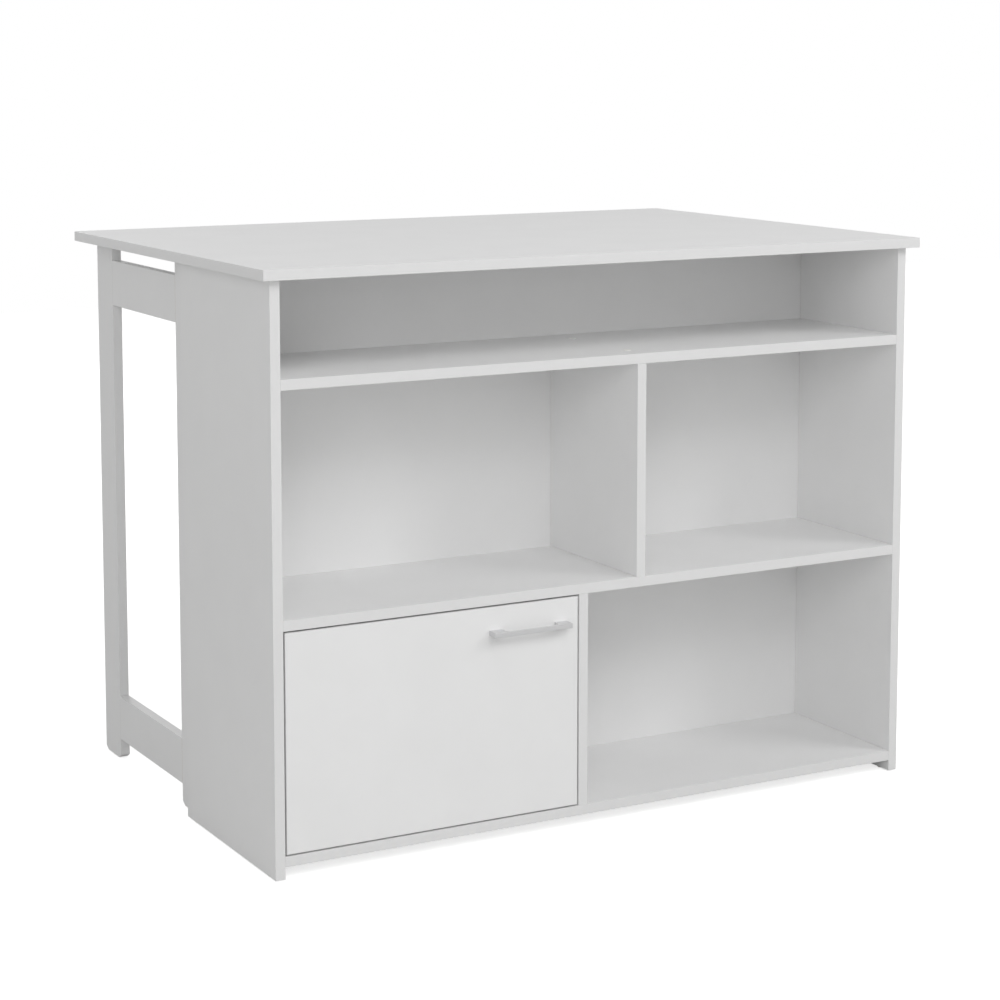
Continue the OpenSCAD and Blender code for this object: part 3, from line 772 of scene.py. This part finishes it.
# %% Handle sizes
HANDLE_BAR = 3 * MM
HANDLE_FOOT = 22 * MM
HANDLE_INNER_R = 6 * MM
HANDLE_OUTER_R = 2 * MM
HANDLE_EDGE = 0.35 * MM
HANDLE_BEND = math.radians(40)
NEAR = 0.05 * MM            # how exactly an edge or a face is found by its place
FLAT = math.radians(1)      # faces that meet at less than this are one flat face
handle_low, handle_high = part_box("handle")
print("handle:", [round(s / MM, 1) for s in handle_high - handle_low], "mm")


# %% Helpers for rounding
def upright_at(depth, ends):
    """A test that finds the upright edges at a depth, at either of two ends."""
    return lambda a, b: abs(a.x - b.x) < NEAR and all(
        abs(p.y - depth) < NEAR and min(abs(p.x - x) for x in ends) < NEAR for p in (a, b))


def soften_edges(piece, width, bend):
    """Rounds all edges at which the surface bends by more than an angle."""
    soften = piece.modifiers.new("soft edges", "BEVEL")
    soften.width = width
    soften.segments = 2
    soften.limit_method = "ANGLE"
    soften.angle_limit = bend
    bpy.ops.object.modifier_apply(modifier=soften.name)


# %% Handle
def make_handle():
    bar_back = handle_low.y + HANDLE_BAR
    bar_ends = (handle_low.x, handle_high.x)
    foot_ends = (handle_low.x + HANDLE_FOOT, handle_high.x - HANDLE_FOOT)
    piece = pick(box_piece(handle_low, Vector((handle_high.x, bar_back, handle_high.z))))
    bpy.ops.object.mode_set(mode="EDIT")
    for x in foot_ends:
        bpy.ops.mesh.select_all(action="SELECT")
        bpy.ops.mesh.bisect(plane_co=(x, bar_back, 0), plane_no=(1, 0, 0))
    choose_faces(piece, lambda at, way: way.y > FACING and not foot_ends[0] < at.x < foot_ends[1])
    bpy.ops.mesh.extrude_region_move(TRANSFORM_OT_translate={"value": (0, handle_high.y - bar_back, 0)})
    bpy.ops.mesh.select_all(action="SELECT")
    bpy.ops.mesh.dissolve_limited(angle_limit=FLAT)
    choose_edges(piece, upright_at(bar_back, foot_ends))
    bpy.ops.mesh.bevel(offset=HANDLE_INNER_R, offset_type="OFFSET", segments=8, profile=0.5, affect="EDGES")
    choose_edges(piece, upright_at(handle_low.y, bar_ends))
    bpy.ops.mesh.bevel(offset=HANDLE_OUTER_R, offset_type="OFFSET", segments=5, profile=0.5, affect="EDGES")
    bpy.ops.object.mode_set(mode="OBJECT")
    soften_edges(piece, HANDLE_EDGE, HANDLE_BEND)
    piece.data.materials.append(satin_nickel)
    return settle(piece, "strap_handle")


handle = shade(make_handle())
stand_for(handle, "handle")
print("handle faces:", len(handle.data.polygons))

# %% [markdown]
# ## Screws
# Every screw in sight gets a real head with a cross recess. One screw is
# modelled for each node: a thin rod whose top is pulled out into the head, with
# the cross cut into it. It is then copied to each place of the node.

# %% Cross recess
CROSS_LONG = 0.62     # parts of the head's radius and of its own length
CROSS_WIDE = 0.17
CROSS_DEPTH = 1.0 * MM
HEAD_ROUND = 0.3 * MM
SCREW_SIDES = 24
SCREW_SMOOTH = math.radians(30)


def cut_cross(screw, head_r):
    """Cuts a cross into the head's face, which lies at z = 0."""
    long, wide = head_r * CROSS_LONG, head_r * CROSS_WIDE
    top, bottom = CROSS_DEPTH, -CROSS_DEPTH
    arms = [box_piece(Vector((-long, -wide, bottom)), Vector((long, wide, top))),
            box_piece(Vector((-wide, -long, bottom)), Vector((wide, long, top)))]
    for arm in arms:
        cut_away(screw, arm, "INDEX")


# %% One screw
def pull_up(distance):
    bpy.ops.mesh.extrude_region_move(TRANSFORM_OT_translate={"value": (0, 0, distance)})


def widen(factor, level):
    bpy.ops.transform.resize(value=(factor, factor, 1), center_override=(0, 0, level))


def make_screw(shape, name):
    """A screw that hangs from the origin, with its head's face at z = 0."""
    head_r, shank_r, length = shape["head_r"], shape["shank_r"], shape["length"]
    sunk = abs(shape["head_t"] - (head_r - shank_r)) < NEAR
    neck = -(head_r - shank_r) if sunk else -shape["head_t"]
    deselect()
    bpy.ops.mesh.primitive_cylinder_add(
        vertices=SCREW_SIDES, radius=shank_r, depth=length + neck, location=(0, 0, (neck - length) / 2))
    screw = settle(bpy.context.object, name)
    bpy.ops.object.mode_set(mode="EDIT")
    choose_faces(screw, lambda at, way: way.z > FACING)
    if sunk:
        pull_up(-neck)
        widen(head_r / shank_r, 0)
    else:
        pull_up(0)
        widen(head_r / shank_r, neck)
        pull_up(-neck - HEAD_ROUND)
        pull_up(HEAD_ROUND)
        widen(1 - HEAD_ROUND / head_r, 0)
    bpy.ops.object.mode_set(mode="OBJECT")
    cut_cross(screw, head_r)
    screw.data.materials.clear()
    screw.data.materials.append(zinc_plate)
    return shade(screw, SCREW_SMOOTH)


def set_screws(node):
    """Models the screw of a node once and copies it to all its places."""
    places = [measure_screw(points) for points in solids(node)]
    model = make_screw(places[0], node + "_model")
    copies = [copy_to(model, place["head"], -place["way"]) for place in places]
    bpy.data.objects.remove(model)
    stand_for(join(copies, "crossed_" + node), node)
    print(node, len(copies), "head", round(places[0]["head_r"] / MM, 2), "mm")


# %% All the crossed screws
for node in ("handle_screws", "hinge_cup_screws", "hinge_plate_screws", "hinge_arm_screws",
             "door_stop_screw", "bracket_screws", "back_screws", "frame_screws"):
    set_screws(node)

# %% [markdown]
# ## Pressed and cast metal
# Hinges, brackets, cams and the moulded stop already have the right shape, but
# their edges are knife sharp. A copy of each is merged, its flat faces are
# joined up again, and a narrow bevel rounds the edges as pressing and plating
# do. The copy then stands for its node.

# %% Rounding a copied node
PRESSED_BEND = math.radians(35)


def soften_copy(node, width, material):
    """A merged copy of a node with rounded edges and a finish."""
    piece = bpy.data.objects.new("soft_" + node, frame["nodes"][node].data.copy())
    bpy.context.scene.collection.objects.link(piece)
    pick(piece)
    bpy.ops.object.mode_set(mode="EDIT")
    bpy.ops.mesh.select_all(action="SELECT")
    bpy.ops.mesh.remove_doubles(threshold=SAME_PLACE)
    bpy.ops.mesh.dissolve_limited(angle_limit=FLAT)
    bpy.ops.object.mode_set(mode="OBJECT")
    soften_edges(piece, width, PRESSED_BEND)
    piece.data.materials.clear()
    piece.data.materials.append(material)
    piece.data.name = piece.name
    stand_for(shade(piece), node)


# %% Hinges, brackets, cams, stop and glides
PRESSED_EDGE = 0.25 * MM
CAST_EDGE = 0.2 * MM
MOULDED_EDGE = 0.5 * MM
for place in ("upper_hinge_", "lower_hinge_"):
    for part in ("cup", "arm", "plate"):
        soften_copy(place + part, PRESSED_EDGE, pressed_nickel)
soften_copy("worktop_brackets", PRESSED_EDGE, pressed_nickel)
soften_copy("shelf_cams", CAST_EDGE, zinc_cast)
soften_copy("door_stop", MOULDED_EDGE, white_plastic)
soften_copy("glides", CAST_EDGE, nylon)

# %% [markdown]
# ## Cover caps
# Two flat caps close the screws on the upper shelf. A cap is a thin disc with
# a rounded rim, whose top is very slightly dished by the way plastic shrinks
# in the mould.

# %% Cover caps
CAP_SIDES = 48
CAP_RIM = 0.7        # the rim's rounding, as a part of the cap's thickness
CAP_BORDER = 0.35    # the flat border round the dish, as a part of the cap's radius
CAP_DISH = 0.15 * MM


def make_cap(radius, thickness):
    deselect()
    bpy.ops.mesh.primitive_cylinder_add(
        vertices=CAP_SIDES, radius=radius, depth=thickness, location=(0, 0, thickness / 2))
    cap = settle(bpy.context.object, "cap_model")
    bpy.ops.object.mode_set(mode="EDIT")
    choose_edges(cap, lambda a, b: min(a.z, b.z) > thickness - NEAR)
    bpy.ops.mesh.bevel(
        offset=thickness * CAP_RIM, offset_type="OFFSET", segments=4, profile=0.5, affect="EDGES")
    choose_faces(cap, lambda at, way: way.z > FACING and at.z > thickness - NEAR)
    bpy.ops.mesh.inset(thickness=radius * CAP_BORDER)
    bpy.ops.transform.translate(value=(0, 0, -CAP_DISH))
    bpy.ops.object.mode_set(mode="OBJECT")
    cap.data.materials.append(white_plastic)
    return shade(cap)


def set_caps():
    shelf_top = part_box("upper_shelf")[1].z
    boxes = [corners(points) for points in solids("screw_caps")]
    boxes = [(low, high) for low, high in boxes if high.z > shelf_top + NEAR]
    low, high = boxes[0]
    model = make_cap((high.x - low.x) / 2, high.z - shelf_top)
    places = [Vector(((low.x + high.x) / 2, (low.y + high.y) / 2, shelf_top)) for low, high in boxes]
    copies = [copy_to(model, place, UP) for place in places]
    bpy.data.objects.remove(model)
    stand_for(join(copies, "moulded_caps"), "screw_caps")
    print("caps:", len(copies), "radius", round((high.x - low.x) / 2 / MM, 2), "mm")


set_caps()

# %% [markdown]
# ## What stays as it is
# Dowels, pins, cam bolts and the long screws have their full shape in the
# construction and lie inside the boards or the cups. They only get their
# finish.

# %% Finish of the remaining nodes
FINISHES = {
    "hinge_pins": pressed_nickel,
    "divider_screws": zinc_plate,
    "cam_bolts": zinc_plate,
    "shelf_dowels": beech,
    "divider_dowels": beech,
    "worktop_dowels": beech,
    "frame_dowels": beech,
}
for node, material in FINISHES.items():
    for slot in frame["nodes"][node].material_slots:
        slot.material = material
print("finished as they are:", len(FINISHES))

# %% [markdown]
# ## The studio
# The background is white only for what the camera, a mirror or glass sees, and
# the floor only for what the camera sees, so the object itself is lit at a plain
# level. The floor keeps a soft shadow.

# %% Floor
FLOOR_SIZE = 14.0
FLOOR_WHITE = "#dededd"
FLOOR_LIFT = 0.7     # added for the camera alone, so that the lit floor reads as white


def make_floor():
    deselect()
    bpy.ops.mesh.primitive_plane_add(size=FLOOR_SIZE, location=(0, 0, 0))
    floor = settle(bpy.context.object, "floor")
    material, tree, shader, place = start_material("studio_floor_matte_paint")
    shader.inputs["Base Color"].default_value = linear(FLOOR_WHITE)
    shader.inputs["Roughness"].default_value = 0.9
    shader.inputs["Emission Color"].default_value = (1, 1, 1, 1)
    seen = add(tree, "ShaderNodeLightPath", {}, {})
    lift = add(tree, "ShaderNodeMath", {"operation": "MULTIPLY"}, {
        0: seen.outputs["Is Camera Ray"], 1: FLOOR_LIFT})
    tree.links.new(lift.outputs["Value"], shader.inputs["Emission Strength"])
    floor.data.materials.append(material)


make_floor()

# %% Background
SKY_LIGHT = 0.49


def make_background():
    world = bpy.data.worlds.new("studio")
    bpy.context.scene.world = world
    world.use_nodes = True
    tree = world.node_tree
    back = tree.nodes["Background"]
    seen = add(tree, "ShaderNodeLightPath", {}, {})
    one = add(tree, "ShaderNodeMath", {"operation": "MAXIMUM"}, {
        0: seen.outputs["Is Camera Ray"], 1: seen.outputs["Is Glossy Ray"]})
    both = add(tree, "ShaderNodeMath", {"operation": "MAXIMUM"}, {
        0: one.outputs["Value"], 1: seen.outputs["Is Transmission Ray"]})
    level = add(tree, "ShaderNodeMapRange", {}, {
        "Value": both.outputs["Value"], "To Min": SKY_LIGHT, "To Max": 1.0})
    back.inputs["Color"].default_value = (1, 1, 1, 1)
    tree.links.new(level.outputs["Result"], back.inputs["Strength"])


make_background()

# %% [markdown]
# ### Lamps
# Four large soft lamps stand round the island, at the same distance. Two light
# the shelf side from the front and the right, and throw the worktop's shadow
# into the open compartments. The low one at the left fills the side panel. The
# one behind stands lowest, so that it lights the seating side and puts little
# more on the worktop, which is the brightest surface.

# %% Lamps
LAMP_DISTANCE = 6.0
LAMP_SIZE = 2.2
LAMP_AIM = Vector((0, 0, 0.5))


def make_lamp(name, azimuth, elevation, watts):
    """A square lamp; azimuth 0 stands before the shelf side, 90 at the right."""
    turn, rise = math.radians(azimuth), math.radians(elevation)
    away = Vector((math.sin(turn) * math.cos(rise), -math.cos(turn) * math.cos(rise), math.sin(rise)))
    deselect()
    bpy.ops.object.light_add(type="AREA", location=LAMP_AIM + away * LAMP_DISTANCE)
    lamp = bpy.context.object
    lamp.name = name
    lamp.data.shape = "SQUARE"
    lamp.data.size = LAMP_SIZE
    lamp.data.energy = watts
    lamp.rotation_euler = (-away).to_track_quat("-Z", "Y").to_euler()
    return lamp


make_lamp("front_lamp", 0, 40, 51)
make_lamp("right_lamp", 45, 30, 64)
make_lamp("left_fill_lamp", -35, 20, 52)
make_lamp("rear_lamp", 180, 12, 50)

# %% [markdown]
# ## The camera
# The photograph was taken from the left of the shelf side, a little above the
# worktop. Upright edges stay upright in it, which takes a shifted lens, because
# a tilted camera makes them lean. The other views keep the shift, though, and a
# large one would push the island out of them. So only part of the downward look
# comes from the shift, and the rest from tilting the camera.

# %% Camera
CAMERA_AT = (-1.9469, -3.5497, 1.2243)
CAMERA_TURN = math.radians(-28.96)
CAMERA_DOWN = math.radians(6.59)
LENS_MM = 87.73
SENSOR_MM = 36.0
SHIFT_DOWN = -0.18

deselect()
bpy.ops.object.camera_add(location=CAMERA_AT, rotation=(math.pi / 2 - CAMERA_DOWN, 0, CAMERA_TURN))
camera = bpy.context.object
camera.data.lens = LENS_MM
camera.data.sensor_width = SENSOR_MM
camera.data.shift_y = SHIFT_DOWN
camera.data.clip_end = 60
bpy.context.scene.camera = camera
bpy.context.scene.view_settings.view_transform = "Standard"
